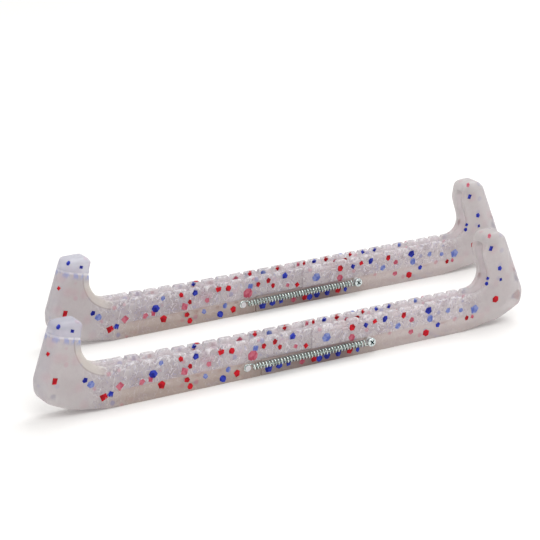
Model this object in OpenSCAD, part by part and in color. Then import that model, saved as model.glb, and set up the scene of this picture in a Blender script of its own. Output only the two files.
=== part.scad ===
// A pair of spring-closed skate blade guards.
// Each guard is a toe half and a heel half of clear moulded plastic.
// The halves slide on each other under a small extension spring, so the guard grips the blade.
// X runs from toe to heel, Y across the guard, Z up. The soles stand on z = 0.

/* [Guard] */
// Length of a closed guard, over both ends
guard_len = 312; // [300:1:330]
// Height of the toothed rail walls
rail_h = 22; // [20:0.5:24]
// Width over the upper walls
rail_w = 13; // [12.5:0.1:14]
// Width of the blade slot
slot_w = 5.6; // [4.6:0.1:6]
// Height of the slot floor over the sole
floor_z = 7; // [6:0.1:7.5]
// Height of the ledge under the upper walls
ledge_z = 9.7; // [9:0.1:10.5]
// How far the sole band is set in below the ledge, on each side
band_inset = 0.6; // [0.3:0.1:0.8]

/* [Towers] */
// Height of the toe cap
toe_h = 52; // [50:0.5:56]
// Height of the heel tower
heel_h = 56.5; // [54:0.5:60]
// Radius that rounds the long top edges of both towers
tower_round = 4; // [2:0.5:5]

/* [Teeth] */
// Tooth pitch of the toe half
toe_pitch = 9.5; // [9:0.1:9.6]
// Tooth pitch of the heel half
heel_pitch = 8.8; // [8.4:0.1:8.9]
// Gaps cut in each wall of a half
gap_count = 12; // [8:1:12]
// Width of a gap at the top
gap_w = 2.2; // [1.6:0.1:4]
// Depth of a gap
gap_d = 1.8; // [1:0.1:3]

/* [Slide] */
// Place of the seam between the upper walls
seam_x = 163.5; // [162:0.5:165]
// Length of the tongue on each side of the seam
tongue_len = 32; // [26:1:34]
// Clearance between the sliding faces
slide_gap = 0.2; // [0.15:0.05:0.3]
// Visible gap at the seam and the tongue ends
seam_gap = 0.25; // [0.2:0.05:0.6]

/* [Spring] */
// Outer diameter of the coils
spring_od = 4; // [3.6:0.1:4.2]
// Diameter of the spring wire
wire_d = 0.9; // [0.6:0.05:0.95]
// Full turns between the end loops, before the last half turn
spring_turns = 37; // [30:1:40]
// Distance from the peg to the screw
anchor_span = 80; // [78:1:82]
// Diameter of the screw head
head_d = 5.2; // [4.6:0.1:5.4]

/* [Pair] */
// Distance between the two guards, centre to centre
pair_gap = 87.5; // [70:0.5:110]
// How far the second guard is set towards the heel
pair_shift = 50; // [0:1:60]

/* [Hidden] */
$fn = 64;

half_w = rail_w / 2;
half_slot = slot_w / 2;
lap_lo = seam_x - tongue_len;
lap_hi = seam_x + tongue_len;
band_y = half_w - band_inset;

// The peg and the screw stand on the near side of the sole band, just under the ledge.
anchor_z = 7.4;
peg_x = 121;
screw_x = peg_x + anchor_span;
coil_r = (spring_od - wire_d) / 2;
coil_y = -(band_y + spring_od / 2 + 0.3);
peg_r = 1.25;
peg_head_r = 1.9;
loop_r = peg_r + wire_d / 2 + 0.1;
boss_top_y = coil_y + wire_d / 2 + 0.3;
head_under_y = coil_y - wire_d / 2 - 0.1;
head_h = 1.6;
shank_r = 1.25;
shank_in = 4.2;
// The toe's nose lies a little before x = 0, and the heel ends here.
toe_tip = -1.3;
heel_tip = guard_len + toe_tip;
side_reach = max(spring_od / 2 - coil_y, head_h - head_under_y);

near_at = [-(guard_len + pair_shift) / 2 - toe_tip, (side_reach - half_w - pair_gap) / 2, 0];
far_at = near_at + [pair_shift, pair_gap, 0];

plastic = [0.88, 0.87, 0.9, 0.75];
steel = [0.72, 0.74, 0.76];

// Inner faces of the towers.
toe_in = 23;
heel_in = heel_tip - 27.7;
heel_top_x = heel_in + 14;
// Heights where the ends bend, and where their slopes meet the tops.
toe_bend = 22;
heel_bend = 18.5;
toe_lean_x = 8.4;
// The walls stand a little higher where they meet the toe tower.
rail_rise = 1.7;
rise_end = 95;

function rail_top(x) = rail_h + rail_rise * max(0, rise_end - x) / (rise_end - toe_in);

// Side outline, as [x, z, corner radius], from the toe's sole round to the heel's sole.
outline = [
    [42, 0, 50], [17, 3.4, 30], [2.4, 9.8, 9], [toe_tip, 16.4, 7], [toe_tip, toe_bend, 14],
    [toe_lean_x, toe_h, 3.5], [25.2, toe_h, 3], [23.2, toe_h - 6.6, 4], [toe_in, toe_h - 11.5, 5],
    [toe_in, rail_top(toe_in), toe_h - rail_h - 13.6], [rise_end, rail_h, 0],
    [heel_in, rail_h, 8.5], [heel_in, rail_h + 11, 14], [heel_in - 4.2, 45, 9], [heel_in - 2.2, heel_h, 5],
    [heel_in + 7, heel_h, 5], [heel_top_x, heel_h - 5, 4], [heel_tip, heel_bend, 9],
    [heel_tip - 3.2, 10.4, 6], [heel_tip - 19, 3.2, 24], [heel_tip - 46, 0, 60]
];

// Side outline of the hollow that takes the blade, open above the rail.
hollow = [
    [17, floor_z, 6], [5.6, 15, 5], [5.2, 24, 12], [11.8, 46.6, 1.5], [26.5, 42.9, 0],
    [26.5, 70, 0], [heel_in - 8, 70, 0], [heel_in - 8, heel_h - 7, 0], [heel_in + 8, heel_h - 5.2, 3],
    [heel_tip - 6, 19, 5], [heel_tip - 11, floor_z + 2, 6], [heel_tip - 20, floor_z, 6]
];

function unit(v) = v / norm(v);

// Points of the arc that rounds corner b, between neighbours a and c.
function corner_arc(a, b, c, r, steps) =
    let (
        u = unit(a - b),
        v = unit(c - b),
        half = acos(u * v) / 2,
        p = b + u * (r / tan(half)),
        q = b + v * (r / tan(half)),
        m = b + unit(u + v) * (r / sin(half)),
        from = atan2(p[1] - m[1], p[0] - m[0]),
        to = atan2(q[1] - m[1], q[0] - m[0]),
        turn = (to - from + 900) % 360 - 180
    )
    [for (i = [0:steps]) m + r * [cos(from + turn * i / steps), sin(from + turn * i / steps)]];

function xz(p) = [p[0], p[1]];

function rounded(corners) =
    let (n = len(corners))
    [
        for (i = [0:n - 1])
            let (
                c = corners[i],
                before = xz(corners[(i + n - 1) % n]),
                after = xz(corners[(i + 1) % n])
            )
            for (p = c[2] == 0 ? [xz(c)] : corner_arc(before, xz(c), after, c[2], c[2] > 12 ? 14 : 7))
                p
    ];

// A side outline made solid across the guard, centred on its middle plane.
module across(corners, width) {
    rotate([90, 0, 0])
        linear_extrude(width, center = true)
            polygon(rounded(corners));
}

// A block given by its low and high corners.
module block(low, high) {
    translate(low)
        cube(high - low);
}

// What a full round end takes off, standing on z = 0. The round is a little larger than
// the guard's half width, so it crosses the guard's sides.
module end_waste(reach) {
    r = half_w + 0.3;
    linear_extrude(reach)
        polygon(concat(
            [[-4, r + 3], [-4, -r - 3], [r - 0.2, -r - 3]],
            [for (a = [-90:-10:-270]) [r - 0.2 + r * cos(a), r * sin(a)]],
            [[r - 0.2, r + 3]]
        ));
}

// Waste along the two top edges of a tower.
module top_waste(x1, top) {
    for (side = [0, 1])
        mirror([0, side, 0])
            translate([-1, half_w + 0.2, top + 0.1])
                rotate([90, 0, 90])
                    linear_extrude(x1 + 1)
                        polygon(concat(
                            [[3, 3], [-tower_round, 3]],
                            [for (a = [90:-10:0]) tower_round * [cos(a) - 1, sin(a) - 1]],
                            [[3, -tower_round]]
                        ));
}

// Rounds one tower. The round follows its lean above the bend and stands upright below it.
module tower_waste(lean, bend_z, x1, top) {
    translate([0, 0, -1])
        end_waste(bend_z + 1);
    translate([0, 0, bend_z])
        rotate([0, lean, 0])
            end_waste(50);
    top_waste(x1, top);
}

// The whole guard without its hollow, teeth or seam.
module guard_solid() {
    difference() {
        across(outline, rail_w);
        translate([toe_tip, 0, 0])
            tower_waste(atan2(toe_lean_x - toe_tip, toe_h - toe_bend), toe_bend, 31, toe_h);
        translate([heel_tip, 0, 0])
            mirror([1, 0, 0])
                tower_waste(atan2(heel_tip - heel_top_x, heel_h - 5 - heel_bend), heel_bend, 36, heel_h);
    }
}

// Recess that sets the sole band in below the ledge and fades out at both ends.
module band_recess() {
    for (side = [-1, 1])
        translate([0, 0, -1])
            linear_extrude(ledge_z + 1)
                polygon([
                    [30, side * half_w], [30, side * (half_w + 1)],
                    [heel_tip - 34, side * (half_w + 1)], [heel_tip - 34, side * half_w],
                    [heel_tip - 60, side * band_y], [54, side * band_y]
                ]);
}

// One gap between two teeth, cut down through a wall from its top.
module tooth_gap(x, side) {
    translate([x, side * (half_slot - 0.2 + (half_w - half_slot + 1) / 2), rail_top(x)])
        rotate([90, 0, 0])
            linear_extrude(half_w - half_slot + 1, center = true)
                polygon([
                    [-gap_w / 2, 1], [-gap_w / 2, -0.2], [-gap_w / 4, -gap_d],
                    [gap_w / 4, -gap_d], [gap_w / 2, -0.2], [gap_w / 2, 1]
                ]);
}

// Both rows of gaps. The near row stands half a pitch from the far row.
module tooth_gaps() {
    for (i = [0:gap_count - 1]) {
        tooth_gap(52.8 + toe_pitch * i, 1);
        tooth_gap(52.8 + toe_pitch * (i - 0.5), -1);
        tooth_gap(seam_x + 10 + heel_pitch * i, 1);
        tooth_gap(seam_x + 10 + heel_pitch * (i - 0.5), -1);
    }
}

module guard_shell() {
    difference() {
        guard_solid();
        across(hollow, slot_w);
        band_recess();
        tooth_gaps();
    }
}

// Dovetail section that keeps the two soles side by side, grown by a clearance.
module dovetail(x0, x1, grow) {
    translate([x0, 0, 0])
        rotate([90, 0, 90])
            linear_extrude(x1 - x0)
                polygon([
                    [-1, 2.7 - grow], [1.5 + grow, 2.2 - grow],
                    [1.5 + grow, 4.6 + grow], [-1, 4.1 + grow]
                ]);
}

module toe_half() {
    low_top = ledge_z - slide_gap / 2;
    from = toe_tip - 1;
    difference() {
        intersection() {
            guard_shell();
            union() {
                block([from, -20, -1], [lap_lo - seam_gap, 20, 80]);
                block([from, slide_gap / 2, -1], [seam_x - seam_gap / 2, 20, 80]);
                block([from, -20, ledge_z + slide_gap / 2], [seam_x - seam_gap / 2, 20, 80]);
                block([from, slide_gap / 2, -1], [lap_hi - seam_gap, 20, low_top]);
            }
        }
        dovetail(lap_lo - seam_gap - 0.3, lap_hi + 1, slide_gap);
    }
    peg();
}

// Peg moulded on the toe half, with a small head that keeps the spring's loop on.
module peg() {
    translate([peg_x, 0, anchor_z])
        rotate([90, 0, 0]) {
            translate([0, 0, band_y - 0.5])
                cylinder(r = peg_r, h = -coil_y + wire_d - band_y + 0.5);
            translate([0, 0, -coil_y + wire_d / 2 + 0.15])
                cylinder(r = peg_head_r, h = 0.7);
        }
}

module heel_half() {
    low_top = ledge_z - slide_gap / 2;
    difference() {
        union() {
            intersection() {
                guard_shell();
                union() {
                    block([lap_hi, -20, -1], [heel_tip + 1, 20, 80]);
                    block([seam_x + seam_gap / 2, -20, -1], [heel_tip + 1, -slide_gap / 2, 80]);
                    block([seam_x + seam_gap / 2, -20, ledge_z + slide_gap / 2], [heel_tip + 1, 20, 80]);
                    block([lap_lo, -20, -1], [heel_tip + 1, -slide_gap / 2, low_top]);
                }
            }
            dovetail(lap_lo, lap_hi + 0.5, 0);
            screw_boss();
        }
        screw_hole();
    }
}

// Boss that carries the screw clear of the sole band.
module screw_boss() {
    translate([screw_x, 0, anchor_z])
        rotate([90, 0, 0])
            translate([0, 0, band_y - 1])
                cylinder(r = 2, h = -boss_top_y - band_y + 1);
}

module screw_hole() {
    translate([screw_x, 0, anchor_z])
        rotate([90, 0, 0])
            translate([0, 0, band_y - shank_in + 0.6])
                cylinder(r = shank_r + 0.02, h = 12);
}

// Pan-head screw with a cross recess, its axis along Y.
module screw() {
    color(steel)
        translate([screw_x, 0, anchor_z])
            rotate([90, 0, 0])
                difference() {
                    union() {
                        translate([0, 0, band_y - shank_in + 0.8])
                            cylinder(r = shank_r, h = -head_under_y - band_y + shank_in - 0.8);
                        translate([0, 0, -head_under_y])
                            rotate_extrude()
                                polygon([
                                    [0, 0], [head_d / 2, 0], [head_d / 2, head_h * 0.45],
                                    [head_d / 2 - 0.25, head_h * 0.75], [head_d / 2 - 0.8, head_h],
                                    [0, head_h]
                                ]);
                    }
                    for (turn = [45, 135])
                        rotate([0, 0, turn])
                            translate([0, 0, -head_under_y + head_h])
                                cube([head_d * 0.62, 0.7, 1.8], center = true);
                }
}

function coil_point(t, x0, x1, turns) =
    let (a = 90 + 360 * turns * t)
    [x0 + (x1 - x0) * t, coil_y + coil_r * cos(a), anchor_z + coil_r * sin(a)];

function loop_point(x, a) = [x + loop_r * cos(a), coil_y, anchor_z + loop_r * sin(a)];

function bend(a, b, c, d, t) =
    a * pow(1 - t, 3) + b * 3 * t * pow(1 - t, 2) + c * 3 * t * t * (1 - t) + d * pow(t, 3);

// Centre line of the spring wire: loop on the peg, coils, loop on the screw.
function wire_path() =
    let (
        turns = spring_turns + 0.5,
        x0 = peg_x + 3.4,
        x1 = screw_x - 4,
        first = coil_point(0, x0, x1, turns),
        last = coil_point(1, x0, x1, turns),
        on_peg = loop_point(peg_x, 80),
        on_screw = loop_point(screw_x, -100)
    )
    concat(
        [for (a = [-40:-24:-256]) loop_point(peg_x, a)],
        [for (i = [0:4]) bend(on_peg, on_peg + [0.9, 0, 0], first + [-0.4, 0.5, 0], first, i / 5)],
        [for (i = [0:turns * 12]) coil_point(i / (turns * 12), x0, x1, turns)],
        [for (i = [1:5]) bend(last, last + [0.4, 0.5, 0], on_screw - [0.9, 0, 0], on_screw, i / 5)],
        [for (a = [-76:24:140]) loop_point(screw_x, a)]
    );

function tangent(path, i) = unit(path[min(i + 1, len(path) - 1)] - path[max(i - 1, 0)]);

// Turns the side direction along with the path, so that the wire's rings don't twist.
function carried(side, t) = unit(side - t * (side * t));

function ring(centre, t, side, r, sides) =
    let (other = cross(t, side))
    [for (k = [0:sides - 1]) centre + r * (side * cos(360 * k / sides) + other * sin(360 * k / sides))];

// Round wire swept along a path.
module wire(path, d, sides) {
    n = len(path);
    sides_at = [
        for (i = 0, s = carried([0, 1, 0.1], tangent(path, 0)); i < n;
            i = i + 1, s = i < n ? carried(s, tangent(path, i)) : s) s
    ];
    points = [for (i = [0:n - 1]) each ring(path[i], tangent(path, i), sides_at[i], d / 2, sides)];
    faces = concat(
        [[for (k = [0:sides - 1]) k]],
        [
            for (i = [0:n - 2]) for (k = [0:sides - 1])
                let (a = i * sides + k, b = i * sides + (k + 1) % sides)
                each [[a, a + sides, b + sides], [a, b + sides, b]]
        ],
        [[for (k = [sides - 1:-1:0]) (n - 1) * sides + k]]
    );
    polyhedron(points, faces, convexity = 10);
}

module spring() {
    color(steel)
        wire(wire_path(), wire_d, 6);
}

module near_toe_half() {
    color(plastic)
        translate(near_at)
            toe_half();
}

module near_heel_half() {
    color(plastic)
        translate(near_at)
            heel_half();
}

module near_spring() {
    translate(near_at)
        spring();
}

module near_screw() {
    translate(near_at)
        screw();
}

module far_toe_half() {
    color(plastic)
        translate(far_at)
            toe_half();
}

module far_heel_half() {
    color(plastic)
        translate(far_at)
            heel_half();
}

module far_spring() {
    translate(far_at)
        spring();
}

module far_screw() {
    translate(far_at)
        screw();
}

near_toe_half();
near_heel_half();
near_spring();
near_screw();
far_toe_half();
far_heel_half();
far_spring();
far_screw();
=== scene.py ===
import math
import random

import bmesh
import bpy
import numpy as np
from mathutils import Matrix, Vector
from mathutils.bvhtree import BVHTree


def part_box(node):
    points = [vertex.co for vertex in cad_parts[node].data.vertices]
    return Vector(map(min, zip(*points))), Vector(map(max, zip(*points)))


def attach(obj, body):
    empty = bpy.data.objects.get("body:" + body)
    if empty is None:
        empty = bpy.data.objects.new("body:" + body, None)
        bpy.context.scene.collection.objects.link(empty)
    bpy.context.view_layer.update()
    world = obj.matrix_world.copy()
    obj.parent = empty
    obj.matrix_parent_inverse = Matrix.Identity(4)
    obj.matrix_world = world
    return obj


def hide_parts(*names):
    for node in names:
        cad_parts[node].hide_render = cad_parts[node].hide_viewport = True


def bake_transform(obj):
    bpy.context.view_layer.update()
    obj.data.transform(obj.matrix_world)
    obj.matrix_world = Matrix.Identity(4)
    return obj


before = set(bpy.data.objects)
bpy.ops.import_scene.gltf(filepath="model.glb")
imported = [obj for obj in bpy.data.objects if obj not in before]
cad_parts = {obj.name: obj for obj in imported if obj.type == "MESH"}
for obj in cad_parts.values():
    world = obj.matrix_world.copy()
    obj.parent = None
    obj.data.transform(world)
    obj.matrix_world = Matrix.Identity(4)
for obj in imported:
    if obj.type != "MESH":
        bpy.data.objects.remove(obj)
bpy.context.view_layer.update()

# Millimetres to the scene's metres. Lengths below are in millimetres unless they say otherwise.
MM = 0.001

# Each guard's own frame: X from near the toe's tip to the heel, Y = 0 on its middle plane,
# Z = 0 on the floor.
TOE_TIP = -1.3
RAIL_W = 13.0
HALF_W = RAIL_W / 2
LEDGE_Z = 9.7
RAIL_H = 22.0
SEAM_X = 163.5
LAP = (131.5, 195.5)
# Centre X and Z, and radius, of the toe's inner fillet.
TOE_FILLET = (39.4, 39.9, 16.4)
SIDES = ("near", "far")
HALVES = ("toe_half", "heel_half")
SLOT_HALF = 2.8
# The sole's surface, just above the chips cast flush with it.
SOLE_Z = 0.04
# The toe hood's solid cap lies above the line where z + CAP_SLOPE * x is CAP_LINE.
CAP_SLOPE = 0.24
CAP_LINE = 47.6
# Above a height, each end leans inward: that height and the slope.
TOE_LEAN = (22.0, 0.323)
HEEL_LEAN = (18.5, 0.415)


def guard_origin(side):
    low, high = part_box(side + "_toe_half")
    return Vector((low.x - TOE_TIP * MM, high.y - HALF_W * MM, 0.0))


ORIGIN = {side: guard_origin(side) for side in SIDES}


# ---------------------------------------------------------------- material helpers

class Nodes:
    """Builds one node material with short calls."""

    def __init__(self, name):
        self.material = bpy.data.materials.new(name)
        self.material.use_nodes = True
        self.tree = self.material.node_tree
        self.tree.nodes.clear()
        self.out = self.tree.nodes.new("ShaderNodeOutputMaterial")
        self.coord = self.tree.nodes.new("ShaderNodeTexCoord").outputs["Object"]

    def put(self, socket, value):
        if isinstance(value, bpy.types.NodeSocket):
            self.tree.links.new(value, socket)
        else:
            socket.default_value = value

    def node(self, kind, **values):
        made = self.tree.nodes.new(kind)
        for key, value in values.items():
            setattr(made, key, value)
        return made

    def math(self, operation, a, b=0.0, clamp=False):
        made = self.node("ShaderNodeMath", operation=operation, use_clamp=clamp)
        self.put(made.inputs[0], a)
        self.put(made.inputs[1], b)
        return made.outputs[0]

    def times(self, first, *others):
        """The product of two or more values."""
        for other in others:
            first = self.math("MULTIPLY", first, other)
        return first

    def reach(self, a, b, centre):
        """How far the place (a, b) is from the centre, in the plane of a and b."""
        da, db = self.math("SUBTRACT", a, centre[0]), self.math("SUBTRACT", b, centre[1])
        return self.math("SQRT", self.math("ADD", self.times(da, da), self.times(db, db)))

    def xyz(self):
        """The three object coordinates, in millimetres."""
        made = self.node("ShaderNodeSeparateXYZ")
        self.put(made.inputs[0], self.scaled(1 / MM))
        return made.outputs

    def scaled(self, x, y=None, z=None):
        made = self.node("ShaderNodeVectorMath", operation="MULTIPLY")
        self.put(made.inputs[0], self.coord)
        self.put(made.inputs[1], (x, x if y is None else y, x if z is None else z))
        return made.outputs[0]

    def step(self, value, low, high, first=0.0, last=1.0):
        """Smooth step from first to last as value goes from low to high."""
        made = self.node("ShaderNodeMapRange", interpolation_type="SMOOTHSTEP")
        for i, v in enumerate((value, low, high, first, last)):
            self.put(made.inputs[i], v)
        return made.outputs[0]

    def noise(self, vector, scale, detail=3.0, rough=0.55, distortion=0.0):
        made = self.node("ShaderNodeTexNoise")
        self.put(made.inputs["Vector"], vector)
        self.put(made.inputs["Scale"], scale)
        self.put(made.inputs["Detail"], detail)
        self.put(made.inputs["Roughness"], rough)
        self.put(made.inputs["Distortion"], distortion)
        return made.outputs["Fac"]

    def spots(self, vector, scale, radius):
        """1 inside scattered round spots and 0 between them."""
        made = self.node("ShaderNodeTexVoronoi")
        self.put(made.inputs["Vector"], vector)
        self.put(made.inputs["Scale"], scale)
        return self.step(made.outputs["Distance"], radius, radius * 0.5), made.outputs["Color"]

    def mix(self, factor, a, b):
        made = self.node("ShaderNodeMix", data_type="RGBA")
        self.put(made.inputs[0], factor)
        self.put(made.inputs[6], a if isinstance(a, bpy.types.NodeSocket) else (*a, 1))
        self.put(made.inputs[7], b if isinstance(b, bpy.types.NodeSocket) else (*b, 1))
        return made.outputs[2]

    def bump(self, height, strength, distance):
        made = self.node("ShaderNodeBump")
        self.put(made.inputs["Height"], height)
        made.inputs["Strength"].default_value = strength
        made.inputs["Distance"].default_value = distance
        return made.outputs[0]

    def principled(self, **values):
        made = self.node("ShaderNodeBsdfPrincipled")
        for key, value in values.items():
            self.put(made.inputs[key.replace("_", " ")], value)
        return made.outputs[0]

    def finish(self, shader):
        self.tree.links.new(shader, self.out.inputs["Surface"])
        return self.material


def srgb(red, green, blue):
    """A colour given as 0 to 255 display values, as the shaders want it."""
    return tuple(
        v / 12.92 if v <= 0.04045 else ((v + 0.055) / 1.055) ** 2.4
        for v in (red / 255, green / 255, blue / 255)
    )


# ---------------------------------------------------------------- materials

def cloudy_base(n, x):
    """Pinker toe half, greyer heel half, and clouds where the resin is less mixed."""
    body = n.mix(n.step(x, SEAM_X - 30, SEAM_X + 30), srgb(192, 187, 188), srgb(205, 198, 198))
    clouds = n.noise(n.scaled(70.0, 90.0, 90.0), 1.0, 3.0)
    body = n.mix(n.step(clouds, 0.46, 0.66, 0.0, 0.5), body, srgb(216, 209, 210))
    return n.mix(n.step(clouds, 0.48, 0.3, 0.0, 0.5), body, srgb(160, 147, 152))


def flow_and_painted_ripple_light(n, body, z, calm):
    """Faint upright resin flow marks, painted light and shade along swirling ripples, and painted glints at
    the top edge.
    """
    flow = n.noise(n.scaled(700.0, 700.0, 200.0), 1.0, 2.0)
    body = n.mix(n.step(flow, 0.52, 0.72, 0.0, 0.16), body, srgb(226, 221, 224))
    # white, dark and bluish lines: painted highlight, shade and reflection along the ripples
    for scale, level, tone, share in (
        (210.0, 0.50, srgb(244, 242, 246), 0.75),
        (330.0, 0.47, srgb(124, 112, 124), 0.5),
        (300.0, 0.56, srgb(160, 164, 206), 0.5),
    ):
        swirl = n.noise(n.scaled(scale, scale, scale * 0.8), 1.0, 1.5, 0.5, 0.9)
        line = n.step(n.math("ABSOLUTE", n.math("SUBTRACT", swirl, level)), 0.022, 0.004)
        body = n.mix(n.times(line, calm, share), body, tone)
    # painted glints: highlights and reflections along the top edge
    glint = n.step(n.noise(n.scaled(520.0, 520.0, 420.0), 1.0, 1.0), 0.52, 0.62)
    edge = n.times(n.step(z, RAIL_H - 3.5, RAIL_H - 0.5), calm)
    return n.mix(n.times(glint, edge, 0.6), body, srgb(250, 249, 251))


def rosy_clouds(n, body, x):
    """Pink clouds along the middle of the rail."""
    cloud = n.step(n.noise(n.scaled(85.0, 110.0, 110.0), 1.0, 2.0, 0.5, 0.4), 0.54, 0.7)
    middle = n.times(n.step(x, 44.0, 80.0), n.step(x, 210.0, 170.0))
    return n.mix(n.times(cloud, middle, 0.36), body, srgb(208, 162, 174))


def sole_band(n, body, x, z):
    """The sole band is browner, partly painted shade, and darkest where the two tongues lie side by side,
    with the spring's shadow painted there.
    """
    along = n.times(n.step(x, 26.0, 52.0), n.step(x, 296.0, 262.0))
    band = n.times(n.step(z, LEDGE_Z + 0.4, LEDGE_Z - 0.4), along)
    # browner from the thicker plastic, with painted shade under the proud upper wall
    brown_and_shaded = n.mix(n.step(x, 170.0, 250.0), srgb(194, 176, 163), srgb(212, 201, 197))
    body = n.mix(n.times(band, 0.75), body, brown_and_shaded)
    # the overlapping tongues darken the band, and the spring's shadow is painted there too
    lap_and_spring_shadow = n.times(n.step(x, LAP[0] - 4, LAP[0] + 46), n.step(x, LAP[1] + 4, LAP[1] - 12))
    return n.mix(n.times(lap_and_spring_shadow, band, 0.6), body, srgb(128, 100, 104))


def fillet_light(n, body, x, z):
    """Painted light on a pale crescent where light comes through the toe's inner fillet, and painted shade
    on its darker edge.
    """
    away = n.math("SUBTRACT", n.reach(x, z, TOE_FILLET), TOE_FILLET[2])
    crescent = n.times(n.step(away, 4.6, 4.0), n.step(x, 42.0, 31.0), n.step(z, 40.0, 34.0))
    body = n.mix(n.times(crescent, 0.8), body, srgb(214, 209, 200))
    # painted shade along the crescent's outer edge
    shaded_rim = n.times(n.step(away, 3.7, 4.1), n.step(away, 5.0, 4.5), n.step(x, 40.0, 32.0))
    return n.mix(n.times(shaded_rim, 0.5), body, srgb(150, 140, 136))


def toe_cap(n, body, x, z):
    """The toe hood's solid cap is clearer and bluish, with a painted white highlight on the lip and painted
    bluish reflections in streaks under it.
    """
    at_toe = n.step(x, 40.0, 34.0)
    line = n.math("ADD", z, n.math("MULTIPLY", x, CAP_SLOPE))
    cap = n.times(n.step(line, CAP_LINE, CAP_LINE + 0.8), at_toe)
    body = n.mix(cap, body, srgb(196, 197, 208))
    # painted bluish reflections in streaks just under the lip
    streak = n.step(n.noise(n.scaled(420.0, 420.0, 120.0), 1.0, 2.0), 0.42, 0.58)
    under = n.times(n.step(line, CAP_LINE - 4.5, CAP_LINE - 1.5),
                    n.step(line, CAP_LINE + 0.4, CAP_LINE - 0.4))
    body = n.mix(n.times(under, streak, at_toe, 0.8), body, srgb(140, 158, 216))
    # painted white highlight along the lip
    lip = n.times(n.step(line, CAP_LINE - 1.1, CAP_LINE - 0.4), n.step(line, CAP_LINE + 0.8, CAP_LINE))
    white = n.step(streak, 0.0, 1.0, 0.75, 0.45)
    return n.mix(n.times(lip, at_toe, white), body, srgb(244, 244, 248)), cap


def lean(n, z, heights):
    """How far inward an end leans at the height z."""
    start, slope = heights
    return n.math("MAXIMUM", n.math("MULTIPLY", n.math("SUBTRACT", z, start), slope), 0.0)


def slot_light(n, body, x, y, z):
    """Painted light where light comes down through the open top and keeps the slot pale. The two ends get a
    cooler painted shade.
    """
    front = n.math("SUBTRACT", x, lean(n, z, TOE_LEAN))
    back = n.math("ADD", x, lean(n, z, HEEL_LEAN))
    slot = n.step(n.math("ABSOLUTE", y), SLOT_HALF + 0.35, SLOT_HALF - 0.1)
    height = n.times(n.step(z, 6.0, 7.5), n.step(z, 48.0, 46.0))
    length = n.times(n.step(front, 2.7, 3.7), n.step(back, 306.7, 305.7))
    inside = n.times(slot, height, length)
    # painted shade, cool and darker, toward both ends
    ends = n.math("MAXIMUM", n.step(front, 5.5, -1.0), n.step(back, 304.5, 311.0))
    body = n.mix(n.times(ends, 0.35), body, srgb(166, 162, 176))
    return n.mix(n.times(inside, 0.7), body, srgb(224, 216, 218)), inside


def deep_chips(n, body, tower):
    """Soft rosy blurs in the towers, and faint tints of chips that lie deep in the wall."""
    blur = n.node("ShaderNodeTexVoronoi")
    n.put(blur.inputs["Vector"], n.scaled(95.0))
    n.put(blur.inputs["Scale"], 1.0)
    blur = n.times(n.step(blur.outputs["Distance"], 0.42, 0.1), tower)
    body = n.mix(n.times(blur, 0.22), body, srgb(206, 154, 162))
    for seed, scale, tone, share in (
        (0.3, 130.0, srgb(206, 120, 138), 0.5),
        (7.7, 120.0, srgb(126, 136, 196), 0.5),
    ):
        shifted = n.node("ShaderNodeVectorMath", operation="ADD")
        n.put(shifted.inputs[0], n.coord)
        shifted.inputs[1].default_value = (seed, seed * 0.4, seed * 0.7)
        blot, kind = n.spots(shifted.outputs[0], scale, 0.24)
        pick = n.node("ShaderNodeSeparateColor")
        n.put(pick.inputs[0], kind)
        in_rail = n.math("SUBTRACT", 1.0, n.times(tower, 0.6))
        chosen = n.times(blot, n.step(pick.outputs[0], 0.55, 0.75), in_rail)
        body = n.mix(n.times(chosen, share), body, tone)
    return body


def mix_shaders(n, factor, first, second):
    made = n.node("ShaderNodeMixShader")
    n.put(made.inputs[0], factor)
    n.put(made.inputs[1], first)
    n.put(made.inputs[2], second)
    return made.outputs[0]


def milky_plastic():
    n = Nodes("milky_plastic")
    x, y, z = n.xyz()
    tower = n.math("MAXIMUM", n.step(x, 36.0, 20.0), n.step(x, 262.0, 284.0))
    calm = n.math("SUBTRACT", 1.0, n.times(tower, 0.8))
    body = flow_and_painted_ripple_light(n, cloudy_base(n, x), z, calm)
    body = rosy_clouds(n, body, x)
    # towers are greyer and clearer than the rail
    body = n.mix(n.times(tower, 0.75), body, srgb(199, 194, 193))
    body = sole_band(n, body, x, z)
    body = fillet_light(n, body, x, z)
    body, cap = toe_cap(n, body, x, z)
    # the spring's peg, moulded on the toe half, is whiter
    body = n.mix(n.step(y, -HALF_W - 0.1, -HALF_W - 0.4), body, srgb(236, 236, 240))
    body, inside = slot_light(n, body, x, y, z)
    body = deep_chips(n, body, tower)
    ripple = n.noise(n.scaled(260.0), 1.0, 4.0)
    grain = n.noise(n.scaled(2400.0), 1.0, 2.0)
    surface = n.principled(
        Base_Color=body,
        Roughness=n.step(ripple, 0.3, 0.7, 0.14, 0.26),
        IOR=1.5,
        Subsurface_Weight=0.55,
        Subsurface_Radius=(1.0, 0.9, 0.95),
        Subsurface_Scale=0.0035,
        # a faint painted glow in the slot, standing for light that comes down through its open top
        Emission_Color=srgb(214, 204, 208) + (1.0,),
        Emission_Strength=n.times(inside, 0.22),
        Normal=n.bump(n.math("ADD", ripple, n.times(grain, 0.12)), 0.28, 0.0006),
    )
    clear = n.node("ShaderNodeBsdfTransparent")
    clear.inputs["Color"].default_value = (0.97, 0.96, 0.97, 1)
    glow = n.node("ShaderNodeBsdfTranslucent")
    n.put(glow.inputs["Color"], body)
    milky = mix_shaders(n, 0.3, surface, glow.outputs[0])
    return n.finish(mix_shaders(n, n.math("ADD", 0.3, n.times(cap, 0.12)), milky, clear.outputs[0]))


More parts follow.
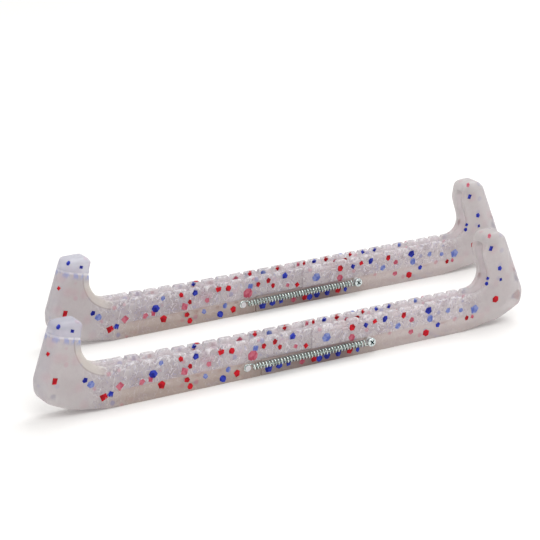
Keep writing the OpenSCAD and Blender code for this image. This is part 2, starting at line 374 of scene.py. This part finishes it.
def chip_material(name, deep, bright):
    n = Nodes(name)
    tone = n.mix(n.step(n.noise(n.scaled(420.0), 1.0, 2.0), 0.35, 0.65), deep, bright)
    flecks = n.noise(n.scaled(3000.0), 1.0, 2.0)
    tone = n.mix(n.step(flecks, 0.62, 0.78, 0.0, 0.12), tone, srgb(225, 210, 216))
    return n.finish(n.principled(
        Base_Color=tone,
        Roughness=n.step(flecks, 0.3, 0.7, 0.34, 0.5),
        Specular_IOR_Level=0.12,
        Normal=n.bump(flecks, 0.15, 0.0002),
    ))


def metal(name, dark, light, rough, axis=None, recess=None):
    """Plated steel, with painted shade near the axis of a coil (Y, Z, radius) or in a recess (X, Z, radius,
    Y).
    """
    n = Nodes(name)
    mottle = n.noise(n.scaled(900.0), 1.0, 3.0)
    wear = n.noise(n.scaled(3500.0, 3500.0, 700.0), 1.0, 2.0)
    tone = n.mix(n.step(mottle, 0.3, 0.7), dark, light)
    if axis:
        _, y, z = n.xyz()
        away = n.reach(y, z, axis)
        # painted shade on the coil's inner side, facing its axis
        tone = n.mix(n.step(away, axis[2] + 0.1, axis[2] - 0.2), tone, srgb(38, 44, 44))
    if recess:
        x, y, z = n.xyz()
        away = n.reach(x, z, recess)
        # painted shade down in the recess
        deep = n.times(n.step(away, recess[2] + 0.1, recess[2] - 0.1),
                       n.step(y, recess[3] - 0.1, recess[3]))
        tone = n.mix(deep, tone, srgb(30, 44, 46))
    return n.finish(n.principled(
        Base_Color=tone,
        Metallic=1.0,
        Roughness=n.step(wear, 0.3, 0.7, rough * 0.75, rough * 1.3),
        Normal=n.bump(wear, 0.12, 0.0001),
    ))


def floor_material():
    n = Nodes("studio_floor")
    patch = n.noise(n.scaled(3.0), 1.0, 2.0)
    return n.finish(n.principled(
        Base_Color=n.mix(n.step(patch, 0.3, 0.7), (0.80, 0.79, 0.775), (0.81, 0.80, 0.785)),
        Roughness=0.9,
        Specular_IOR_Level=0.1,
    ))


PLASTIC = milky_plastic()
CHIP_KINDS = {
    "red": chip_material("chip_red", srgb(142, 6, 20), srgb(192, 20, 36)),
    "blue": chip_material("chip_blue", srgb(20, 26, 118), srgb(48, 62, 172)),
    "rose": chip_material("chip_rose", srgb(164, 66, 86), srgb(186, 104, 120)),
    "mist": chip_material("chip_mist", srgb(84, 98, 166), srgb(126, 136, 184)),
}
# The spring's axis, Y and Z, and the screw's X.
SPRING_Y = -8.2
SPRING_Z = 7.4
SCREW_X = 201.0
SPRING_STEEL = metal("spring_steel_look", srgb(138, 152, 148), srgb(224, 234, 230), 0.2,
                     axis=(SPRING_Y, SPRING_Z, 1.55))
ZINC = metal("zinc_look", srgb(172, 186, 186), srgb(232, 240, 240), 0.24,
             recess=(SCREW_X, SPRING_Z, 1.8, -9.95))


# ---------------------------------------------------------------- mesh helpers

def new_object(name, mesh, material, side):
    mesh.materials.clear()
    mesh.materials.append(material)
    obj = bpy.data.objects.new(name, mesh)
    bpy.context.scene.collection.objects.link(obj)
    obj.location = ORIGIN[side]
    return obj


def replaced_mesh(obj):
    """The object's mesh with its modifiers applied."""
    graph = bpy.context.evaluated_depsgraph_get()
    made = bpy.data.meshes.new_from_object(obj.evaluated_get(graph))
    obj.modifiers.clear()
    obj.data = made
    return made


def coordinates(mesh):
    co = np.empty(len(mesh.vertices) * 3, np.float32)
    mesh.vertices.foreach_get("co", co)
    return co.reshape(-1, 3).astype(float)


def set_coordinates(mesh, co):
    mesh.vertices.foreach_set("co", co.astype(np.float32).ravel())
    mesh.update()


def vertex_normals(mesh):
    no = np.empty(len(mesh.vertices) * 3, np.float32)
    mesh.vertices.foreach_get("normal", no)
    return no.reshape(-1, 3).astype(float)


def smooth_step(v, low, high):
    t = np.clip((v - low) / (high - low), 0, 1)
    return t * t * (3 - 2 * t)


# ---------------------------------------------------------------- the moulded halves

# Voxel size of the mouldings, and how far from the middle plane the slot's walls start.
VOXEL = 0.52
WALL_Y = 2.9
# Along X, from and to: how strongly the towers' edges are rounded.
TOWER_ROUNDING = ((-9, 24, 1.0), (24, 30, 0.4), (268, 278, 0.4), (278, 320, 1.0))


def welded_copy(side, node):
    """The CAD node's mesh in the guard's own frame, with its doubled corners joined."""
    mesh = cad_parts[node].data.copy()
    mesh.transform(Matrix.Translation(-ORIGIN[side]))
    bm = bmesh.new()
    bm.from_mesh(mesh)
    bmesh.ops.remove_doubles(bm, verts=bm.verts, dist=1e-6)
    bm.to_mesh(mesh)
    bm.free()
    return mesh


def soften_edges(obj):
    """Even voxels, softened edges, and rounder edges on the towers than on the rail."""
    voxels = obj.modifiers.new("voxels", "REMESH")
    voxels.mode = "VOXEL"
    voxels.voxel_size = VOXEL * MM
    soften = obj.modifiers.new("soften", "SMOOTH")
    soften.factor = 0.5
    soften.iterations = 5
    along = coordinates(replaced_mesh(obj))[:, 0] / MM
    towers = obj.vertex_groups.new(name="towers")
    for low, high, weight in TOWER_ROUNDING:
        within = np.where((along >= low) & (along < high))[0]
        if len(within):
            towers.add(within.tolist(), weight, "REPLACE")
    rounder = obj.modifiers.new("rounder", "SMOOTH")
    rounder.factor = 0.5
    rounder.iterations = 36
    rounder.vertex_group = "towers"
    mesh = replaced_mesh(obj)
    obj.vertex_groups.clear()
    return mesh


def moulded_relief(co, normals):
    """The places, in millimetres, moved to give the rolled fillet, lip, ribs and waves."""
    x, y, z = co.T
    # the wall rolls over into the toe's inner fillet
    away = np.hypot(x - TOE_FILLET[0], z - TOE_FILLET[1]) - TOE_FILLET[2]
    roll = smooth_step(away, 5.4, 0.0) * smooth_step(x, 40, 31) * smooth_step(z, 39, 33)
    outer = np.abs(y) > WALL_Y
    y = np.where(outer, np.sign(y) * (WALL_Y + (np.abs(y) - WALL_Y) * (1 - 0.5 * roll)), y)
    co[:, 1] = y
    shift = np.zeros(len(co))
    # lip below the toe hood's solid cap
    line = z + CAP_SLOPE * x - CAP_LINE
    shift -= 0.35 * np.exp(-(line / 0.7) ** 2) * (x < 28) * (np.abs(y) > 3.2)
    # fine ribs at the toe end of the sole band
    ribs = smooth_step(x, 34, 36) * smooth_step(x, 46, 44)
    ribs = ribs * smooth_step(z, 9.0, 8.0) * smooth_step(z, 1.0, 2.0)
    shift += 0.1 * ribs * np.sin(x * 2 * math.pi / 1.5) * (np.abs(y) > 5.0)
    # the hand-filled mould leaves shallow waves
    shift += 0.05 * (np.sin(x * 0.33 + 1.2 * np.sin(z * 0.21)) * np.sin(z * 0.45 + 0.7) - 1)
    co += normals * shift[:, None]
    co[:, 2] = np.maximum(co[:, 2], SOLE_Z)
    return co


def moulding(side, half):
    """A half of the guard with the soft edges and faint relief of a moulded part."""
    node = side + "_" + half
    obj = new_object(side + "_" + half + "_moulding", welded_copy(side, node), PLASTIC, side)
    mesh = soften_edges(obj)
    mesh.polygons.foreach_set("use_smooth", [True] * len(mesh.polygons))
    set_coordinates(mesh, moulded_relief(coordinates(mesh) / MM, vertex_normals(mesh)) * MM)
    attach(obj, side + "_" + half.split("_")[0])
    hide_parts(node)
    return obj


MOULDINGS = {(side, half): moulding(side, half) for side in SIDES for half in HALVES}
TREES = {
    half: BVHTree.FromPolygons(
        [tuple(v.co / MM) for v in MOULDINGS["near", half].data.vertices],
        [tuple(p.vertices) for p in MOULDINGS["near", half].data.polygons],
    )
    for half in HALVES
}


# ---------------------------------------------------------------- the chips cast in the plastic

# Where a chip is looked for: from a point outside the guard, along a direction.
SLANT = Vector((0.501, 0.802, -0.324))
FACES = {
    # places on the near wall's plane, looked for along a slanting line, which meets rounded edges too
    "near": (Vector((0, -HALF_W, 0)) - SLANT * 40, SLANT),
    "back": (Vector((0, 30, 0)), Vector((0, -1, 0))),
    "top": (Vector((0, 0, 90)), Vector((0, 0, -1))),
    "under": (Vector((0, 0, -30)), Vector((0, 0, 1))),
    "heel_end": (Vector((360, 0, 0)), Vector((-1, 0, 0))),
    # inside of the back wall, seen over the near wall
    "inner": (Vector((0, 0, 0)), Vector((0, 1, 0))),
}
CHIP_THICK = 0.22
CHIP_LIFT = 0.03
# A chip isn't laid where the surface turns away more than this, or drops by more than its jump.
LEAST_FACING = -0.2
JUMP = 1.6
NEAR_JUMP = 8.0
EDGE_JUMP = 4.5


def chip_outline(rng, size, corners):
    """Corner offsets of an irregular chip with that many corners."""
    start = rng.uniform(0, math.tau)
    stretch = rng.uniform(0.8, 1.15)
    points = []
    for i in range(corners):
        turn = start + math.tau * (i + rng.uniform(-0.12, 0.12)) / corners
        reach = size / 2 * rng.uniform(0.9, 1.1)
        points.append((reach * math.cos(turn) * stretch, reach * math.sin(turn)))
    tilt = rng.uniform(-0.9, 0.9)
    c, s = math.cos(tilt), math.sin(tilt)
    return [(a * c - b * s, a * s + b * c) for a, b in points]


def look(tree, face, a, b):
    """Where the line from outside that face, at its coordinates a and b, meets the guard."""
    start, along = FACES[face]
    if face in ("top", "under"):
        place = Vector((a, b, 0))
    elif face == "heel_end":
        place = Vector((0, a, b))
    else:
        place = Vector((a, 0, b))
    hit, normal, _, distance = tree.ray_cast(place + start, along, 120)
    if hit is None:
        return None
    return hit, -normal if normal.dot(along) > 0 else normal, distance


def surface_patch(tree, face, centre, outline, jump):
    """The chip's points on the guard's surface, as rings of (point, normal), or None if it won't fit."""
    dense = []
    for i, p in enumerate(outline):
        q = outline[(i + 1) % len(outline)]
        dense += [(p[0] + (q[0] - p[0]) * t / 3, p[1] + (q[1] - p[1]) * t / 3) for t in range(3)]
    rings = [[(0.0, 0.0)]] + [[(a * reach, b * reach) for a, b in dense] for reach in (0.25, 0.5, 0.75, 1.0)]
    found, first = [], None
    for ring in rings:
        hits = []
        for a, b in ring:
            seen = look(tree, face, centre[0] + a, centre[1] + b)
            if seen is None:
                return None
            hit, normal, distance = seen
            first = distance if first is None else first
            if abs(distance - first) > jump or normal.dot(FACES[face][1]) > LEAST_FACING:
                return None
            hits.append((hit + normal * CHIP_LIFT, normal))
        found.append(hits)
    return found


def add_chip(bm, rings, thick):
    """A closed chip: the laid rings on top, the same rings lower down, and its edge."""
    layers = []
    for drop in (0.0, thick):
        layers.append([[bm.verts.new((p - n * drop) * MM) for p, n in ring] for ring in rings])
    for flip, (middle, *loops) in enumerate(layers):
        count = len(loops[0])
        for i in range(count):
            j = (i + 1) % count
            patches = [[middle[0], loops[0][i], loops[0][j]]]
            patches += [[a[i], b[i], b[j], a[j]] for a, b in zip(loops, loops[1:])]
            for patch in patches:
                bm.faces.new(patch[::-1] if flip else patch)
    top, low = layers[0][-1], layers[1][-1]
    for i in range(len(top)):
        j = (i + 1) % len(top)
        bm.faces.new([top[i], low[i], low[j], top[j]])


# Chips that stand out on the near side: X, Z, size, corners and colour. X and Z in this list and the
# next came from a separate converter and were then adjusted by hand. They weren't worked out here, nor
# chosen by hand from the start: both lists are an open fault.
NEAR_CHIPS = [
    (9.5, 51, 3.0, 6, "blue"), (17.5, 47.4, 2.6, 4, "blue"), (3.2, 37.5, 2.6, 4, "red"),
    (7.2, 22, 4.6, 4, "red"), (24.3, 19, 3.6, 5, "blue"), (27.8, 16, 4.2, 6, "mist"),
    (35, 7.4, 5.0, 4, "red"), (39, 8.4, 4.4, 4, "blue"), (44.6, 11.8, 5.0, 4, "rose"),
    (57.6, 11.4, 3.4, 5, "rose"), (62.8, 12.0, 3.8, 4, "rose"), (64.2, 14.6, 5.0, 6, "blue"),
    (69.3, 7.4, 4.6, 5, "red"), (69, 20.0, 3.4, 5, "mist"), (81, 19.8, 3.6, 5, "red"),
    (83.4, 12.4, 5.4, 4, "rose"), (86.6, 14.6, 3.6, 5, "red"), (90.2, 19.4, 3.6, 5, "blue"),
    (84.7, 7.2, 3.6, 5, "red"), (86.6, 3.2, 3.8, 6, "red"), (98, 13.5, 3.2, 5, "rose"),
    (96, 7.0, 3.4, 5, "mist"), (105.5, 19.2, 4.0, 5, "red"), (112.3, 18.4, 3.8, 6, "red"),
    (106.8, 3.6, 4.6, 8, "blue"), (115.6, 4.8, 4.6, 5, "red"), (110, 8.0, 3.6, 6, "mist"),
    (125.5, 13.2, 6.4, 7, "rose"), (127.2, 17.0, 3.8, 4, "mist"), (132.4, 17.2, 3.6, 5, "red"),
    (135.4, 3.6, 4.6, 5, "blue"), (142.4, 4.6, 5.0, 6, "blue"), (139.4, 18.4, 3.8, 5, "red"),
    (142.6, 14.8, 3.6, 5, "red"), (148.2, 4.2, 3.6, 4, "blue"), (150.6, 19.4, 4.0, 5, "blue"),
    (152.8, 13.2, 3.4, 4, "rose"), (159.2, 12.4, 3.6, 4, "red"), (157.0, 3.6, 3.8, 5, "rose"),
    (164.8, 3.8, 4.4, 6, "red"), (168.4, 3.2, 3.8, 7, "blue"), (173.4, 4.2, 4.6, 7, "blue"),
    (172.8, 14.6, 5.0, 6, "mist"), (180.8, 3.8, 4.0, 6, "blue"), (188.4, 4.2, 4.4, 6, "red"),
    (193.6, 3.6, 3.4, 5, "blue"), (189.6, 17.2, 4.2, 6, "red"), (189.6, 11.4, 4.6, 6, "rose"),
    (198.8, 17.0, 3.6, 4, "blue"), (204.8, 18.2, 3.2, 4, "red"), (211.6, 18.4, 4.2, 6, "blue"),
    (220.6, 12.6, 4.4, 5, "mist"), (224.3, 18.2, 4.0, 5, "red"), (230.0, 14.4, 3.4, 5, "rose"),
    (229.6, 7.2, 3.2, 5, "rose"), (240.2, 4.6, 4.4, 6, "red"), (241.4, 17.8, 4.8, 5, "blue"),
    (242.6, 12.8, 4.6, 6, "mist"), (248.3, 8.0, 3.0, 5, "blue"), (255.0, 15.4, 3.4, 5, "mist"),
    (264.2, 14.0, 3.0, 5, "mist"), (268.6, 8.4, 3.4, 5, "red"), (272.4, 8.6, 3.0, 4, "rose"),
    (274.0, 12.8, 5.4, 5, "mist"), (288.8, 16.2, 4.6, 6, "red"), (279.4, 36.1, 3.0, 4, "red"),
    (290.8, 34.6, 3.4, 5, "blue"), (282.6, 29.9, 2.4, 4, "blue"), (281.9, 26.8, 3.0, 5, "blue"),
    (291.8, 27.6, 2.6, 4, "blue"), (283.7, 47.8, 3.8, 4, "blue"), (273.0, 49.1, 3.4, 5, "red"),
    (269.6, 54.2, 3.2, 4, "blue"), (282.3, 55.4, 3.4, 5, "rose"),
]

# Chips over the top edge of the back wall, placed on the near wall's plane as the others are.
EDGE_CHIPS = [
    (69.2, 25.1, 3.0, 5, "blue"), (88.6, 25.1, 3.2, 5, "blue"), (126.6, 25.1, 3.3, 5, "red"),
    (145.6, 25.1, 3.3, 4, "red"), (160.0, 25.0, 3.3, 4, "rose"), (164.2, 25.0, 3.0, 5, "red"),
    (171.2, 25.0, 3.0, 5, "blue"), (179.6, 25.1, 3.3, 5, "red"), (197.0, 25.1, 3.2, 4, "red"),
    (206.2, 25.1, 3.0, 4, "blue"), (214.8, 25.1, 3.2, 4, "blue"), (233.0, 25.1, 3.0, 5, "mist"),
]

# Chips laid at random: how many, on which face, and the two ranges of places.
CHIP_SCATTER = (
    (70, "back", (46, 262), (1.5, 20)),
    (10, "back", (3, 40), (4, 50)),
    (12, "back", (272, 305), (6, 54)),
    (40, "top", (44, 268), (-6.2, 6.2)),
    (50, "under", (40, 268), (-6, 6)),
    (10, "heel_end", (-4, 5), (9, 48)),
    (26, "inner", (60, 262), (9, 20.5)),
)


def chips_of(side):
    """All chips of one guard, as one object for each half and colour."""
    rng = random.Random(41)
    meshes = {(half, kind): bmesh.new() for half in HALVES for kind in CHIP_KINDS}

    def lay(face, a, b, size, corners, kind, jump=JUMP):
        outline = chip_outline(rng, size, corners)
        seen = {half: look(tree, face, a, b) for half, tree in TREES.items()}
        seen = {half: found[2] for half, found in seen.items() if found}
        if seen:
            half = min(seen, key=seen.get)
            rings = surface_patch(TREES[half], face, (a, b), outline, jump)
            if rings:
                add_chip(meshes[half, kind], rings, CHIP_THICK)

    for x, z, size, corners, kind in NEAR_CHIPS:
        lay("near", x, z, size, corners, kind, NEAR_JUMP)
    for x, z, size, corners, kind in EDGE_CHIPS:
        lay("near", x, z, size, corners, kind, EDGE_JUMP)
    kinds = list(CHIP_KINDS)
    for count, face, a_range, b_range in CHIP_SCATTER:
        for _ in range(count):
            lay(face, rng.uniform(*a_range), rng.uniform(*b_range), rng.uniform(2.6, 4.6),
                rng.choice([4, 5, 5, 6, 6, 7]), rng.choice(kinds))
    for (half, kind), bm in meshes.items():
        mesh = bpy.data.meshes.new("chips")
        bm.to_mesh(mesh)
        bm.free()
        obj = new_object(f"{side}_{half}_chips_{kind}", mesh, CHIP_KINDS[kind], side)
        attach(obj, side + "_" + half.split("_")[0])


for side in SIDES:
    chips_of(side)


# ---------------------------------------------------------------- springs and screws

WIRE_D = 0.9
SPRING_OD = 4.0
COIL_R = (SPRING_OD - WIRE_D) / 2
PEG_R = 1.25
LOOP_R = PEG_R + WIRE_D / 2 + 0.1
TURNS = 37.5
COIL_STEPS = 32


def tube(points, radius, sides, name):
    """Mesh of a round wire swept along a path, closed at both ends."""
    mesh = bpy.data.meshes.new(name)
    p = [Vector(q) for q in points]
    verts, faces = [], []
    side = Vector((0, 1, 0.1))
    for i, q in enumerate(p):
        t = (p[min(i + 1, len(p) - 1)] - p[max(i - 1, 0)]).normalized()
        side = (side - t * side.dot(t)).normalized()
        other = t.cross(side)
        for k in range(sides):
            a = math.tau * k / sides
            verts.append(tuple((q + radius * (side * math.cos(a) + other * math.sin(a))) * MM))
    for i in range(len(p) - 1):
        for k in range(sides):
            a, b = i * sides + k, i * sides + (k + 1) % sides
            faces.append((a, b, b + sides, a + sides))
    faces.append(tuple(range(sides - 1, -1, -1)))
    faces.append(tuple((len(p) - 1) * sides + k for k in range(sides)))
    mesh.from_pydata(verts, [], faces)
    mesh.polygons.foreach_set("use_smooth", [len(q.vertices) == 4 for q in mesh.polygons])
    mesh.update()
    return mesh


def bend(a, b, c, d, t):
    return a * (1 - t) ** 3 + b * 3 * t * (1 - t) ** 2 + c * 3 * t * t * (1 - t) + d * t ** 3


def spring(side):
    node = side + "_spring"
    low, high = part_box(node)
    low, high = (low - ORIGIN[side]) / MM, (high - ORIGIN[side]) / MM
    peg_x = low.x + LOOP_R + WIRE_D / 2
    screw_x = high.x - LOOP_R - WIRE_D / 2
    middle = (low + high) / 2
    x0, x1 = peg_x + 3.4, screw_x - 4.0

    def coil(t):
        a = math.pi / 2 + math.tau * TURNS * t
        return Vector((x0 + (x1 - x0) * t, middle.y + COIL_R * math.cos(a), middle.z + COIL_R * math.sin(a)))

    def loop(x, degrees):
        a = math.radians(degrees)
        return Vector((x + LOOP_R * math.cos(a), middle.y, middle.z + LOOP_R * math.sin(a)))

    first, last = coil(0), coil(1)
    on_peg, on_screw = loop(peg_x, 80), loop(screw_x, -100)
    out = Vector((0.9, 0, 0))
    path = [loop(peg_x, -40 - 8 * i) for i in range(29)]
    path += [bend(on_peg, on_peg + out, first + Vector((-0.4, 0.5, 0)), first, i / 8) for i in range(1, 8)]
    steps = int(TURNS * COIL_STEPS)
    path += [coil(i / steps) for i in range(steps + 1)]
    path += [bend(last, last + Vector((0.4, 0.5, 0)), on_screw - out, on_screw, i / 8) for i in range(1, 8)]
    path += [loop(screw_x, -100 + 8 * i) for i in range(31)]
    mesh = tube(path, WIRE_D / 2 * 0.98, 12, node + "_wire")
    obj = new_object(node + "_wire", mesh, SPRING_STEEL, side)
    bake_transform(obj)
    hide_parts(node)
    return peg_x, screw_x, middle


def screw_profile():
    """Radius and distance along the axis, from the head's centre to the tip, in millimetres."""
    head_r, head_h, shank_r = 2.6, 1.6, 1.2
    profile = [(head_r * i / 12, 0.28 * (i / 12) ** 2) for i in range(1, 9)]
    for i in range(9):
        a = math.pi / 2 * i / 8
        drop = 0.28 * (8 / 12) ** 2 + 0.03
        profile.append((head_r - 0.75 + 0.75 * math.sin(a), drop + 0.9 * (1 - math.cos(a))))
    profile += [(head_r, head_h - 0.25), (head_r - 0.1, head_h - 0.05), (head_r - 0.35, head_h)]
    profile += [(shank_r + 0.35, head_h), (shank_r + 0.05, head_h + 0.12)]
    return profile, shank_r, head_h


# The cross pressed in the head: half its arm's width, its reach and its depth.
CROSS_HALF_W = 0.42
CROSS_REACH = 1.7
CROSS_DEPTH = 0.75


def cross_depth(r, a):
    """Depth of the cross at the radius r and angle a on the head."""
    best = 0.0
    for turn in (math.radians(45), math.radians(135)):
        across = abs(r * math.sin(a - turn))
        outward = abs(r * math.cos(a - turn))
        side_wall = min(1.0, max(0.0, (CROSS_HALF_W - across) / 0.12))
        end_wall = min(1.0, max(0.0, (CROSS_REACH - outward) / 0.35))
        best = max(best, CROSS_DEPTH * side_wall * end_wall)
    return best


def screw(side):
    """Pan-head screw: a lathed head with a cross recess pressed in, and a threaded shank."""
    node = side + "_screw"
    low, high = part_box(node)
    low, high = (low - ORIGIN[side]) / MM, (high - ORIGIN[side]) / MM
    centre = (low + high) / 2
    profile, shank_r, head_h = screw_profile()
    length = high.y - low.y
    around = 96
    thread_top, thread_low = head_h + 0.5, length - 0.5
    rows = list(profile)
    steps = 64
    for i in range(steps + 1):
        rows.append((None, thread_top + (thread_low - thread_top) * i / steps))
    rows.append((shank_r * 0.6, length - 0.1))
    verts, faces = [], []

    verts.append((centre.x, low.y + 0.85, centre.z))
    for row, (r, d) in enumerate(rows):
        for k in range(around):
            a = math.tau * k / around
            if r is None:
                radius = shank_r * (0.86 + 0.14 * abs(math.sin((d / 0.9 * math.tau + a) / 2)))
                depth = d
            else:
                radius = r
                depth = d + (cross_depth(r, a) if row < 9 else 0.0)
            verts.append((centre.x + radius * math.cos(a), low.y + depth, centre.z + radius * math.sin(a)))
    tip = len(verts)
    verts.append((centre.x, high.y, centre.z))
    for k in range(around):
        j = (k + 1) % around
        faces.append((0, 1 + k, 1 + j))
        for row in range(len(rows) - 1):
            a = 1 + row * around
            faces.append((a + k, a + around + k, a + around + j, a + j))
        last = 1 + (len(rows) - 1) * around
        faces.append((last + k, tip, last + j))
    mesh = bpy.data.meshes.new(node + "_pan_head")
    mesh.from_pydata([tuple(Vector(v) * MM) for v in verts], [], faces)
    mesh.polygons.foreach_set("use_smooth", [True] * len(mesh.polygons))
    mesh.update()
    obj = new_object(node + "_pan_head", mesh, ZINC, side)
    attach(obj, side + "_heel")
    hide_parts(node)


for side in SIDES:
    spring(side)
    screw(side)


# ---------------------------------------------------------------- stage, light and camera

def flat_plane(name, size, material):
    mesh = bpy.data.meshes.new(name)
    bm = bmesh.new()
    bmesh.ops.create_grid(bm, x_segments=4, y_segments=4, size=size)
    bm.to_mesh(mesh)
    bm.free()
    mesh.materials.append(material)
    obj = bpy.data.objects.new(name, mesh)
    bpy.context.scene.collection.objects.link(obj)
    return obj


flat_plane("studio_floor", 14.0, floor_material())

world = bpy.data.worlds.new("studio")
world.use_nodes = True
world.node_tree.nodes["Background"].inputs["Color"].default_value = (1.0, 1.0, 1.0, 1)
world.node_tree.nodes["Background"].inputs["Strength"].default_value = 0.85
bpy.context.scene.world = world


def softbox(name, place, aim, size, power):
    light = bpy.data.lights.new(name, "AREA")
    light.shape = "DISK"
    light.size = size
    light.energy = power
    obj = bpy.data.objects.new(name, light)
    bpy.context.scene.collection.objects.link(obj)
    obj.location = place
    obj.rotation_euler = (Vector(aim) - Vector(place)).to_track_quat("-Z", "Y").to_euler()
    return obj


softbox("key", (-0.35, -0.95, 1.5), (0, 0, 0.02), 1.2, 11.0)
softbox("top", (0.75, 0.35, 1.6), (0, 0, 0.02), 1.2, 13.0)

# The camera of a product shot: long lens, low and from the toe's side.
YAW, PITCH, ROLL = (math.radians(v) for v in (32.01, 18.88, 0.67))
CAMERA_AT = ORIGIN["near"] + Vector((-457.4, -955.3, 442.7)) * MM
LENS = 147.8
forward = Vector((math.sin(YAW) * math.cos(PITCH), math.cos(YAW) * math.cos(PITCH), -math.sin(PITCH)))
level_right = Vector((math.cos(YAW), -math.sin(YAW), 0))
level_up = level_right.cross(forward)
right = level_right * math.cos(ROLL) + level_up * math.sin(ROLL)
up = level_up * math.cos(ROLL) - level_right * math.sin(ROLL)
camera_data = bpy.data.cameras.new("camera")
camera_data.lens = LENS
camera_data.sensor_width = 36.0
camera_data.clip_start = 0.05
camera_data.clip_end = 50.0
camera = bpy.data.objects.new("camera", camera_data)
bpy.context.scene.collection.objects.link(camera)
camera.matrix_world = Matrix.Translation(CAMERA_AT) @ Matrix((right, up, -forward)).transposed().to_4x4()
bpy.context.scene.camera = camera
bpy.context.scene.view_settings.view_transform = "Standard"
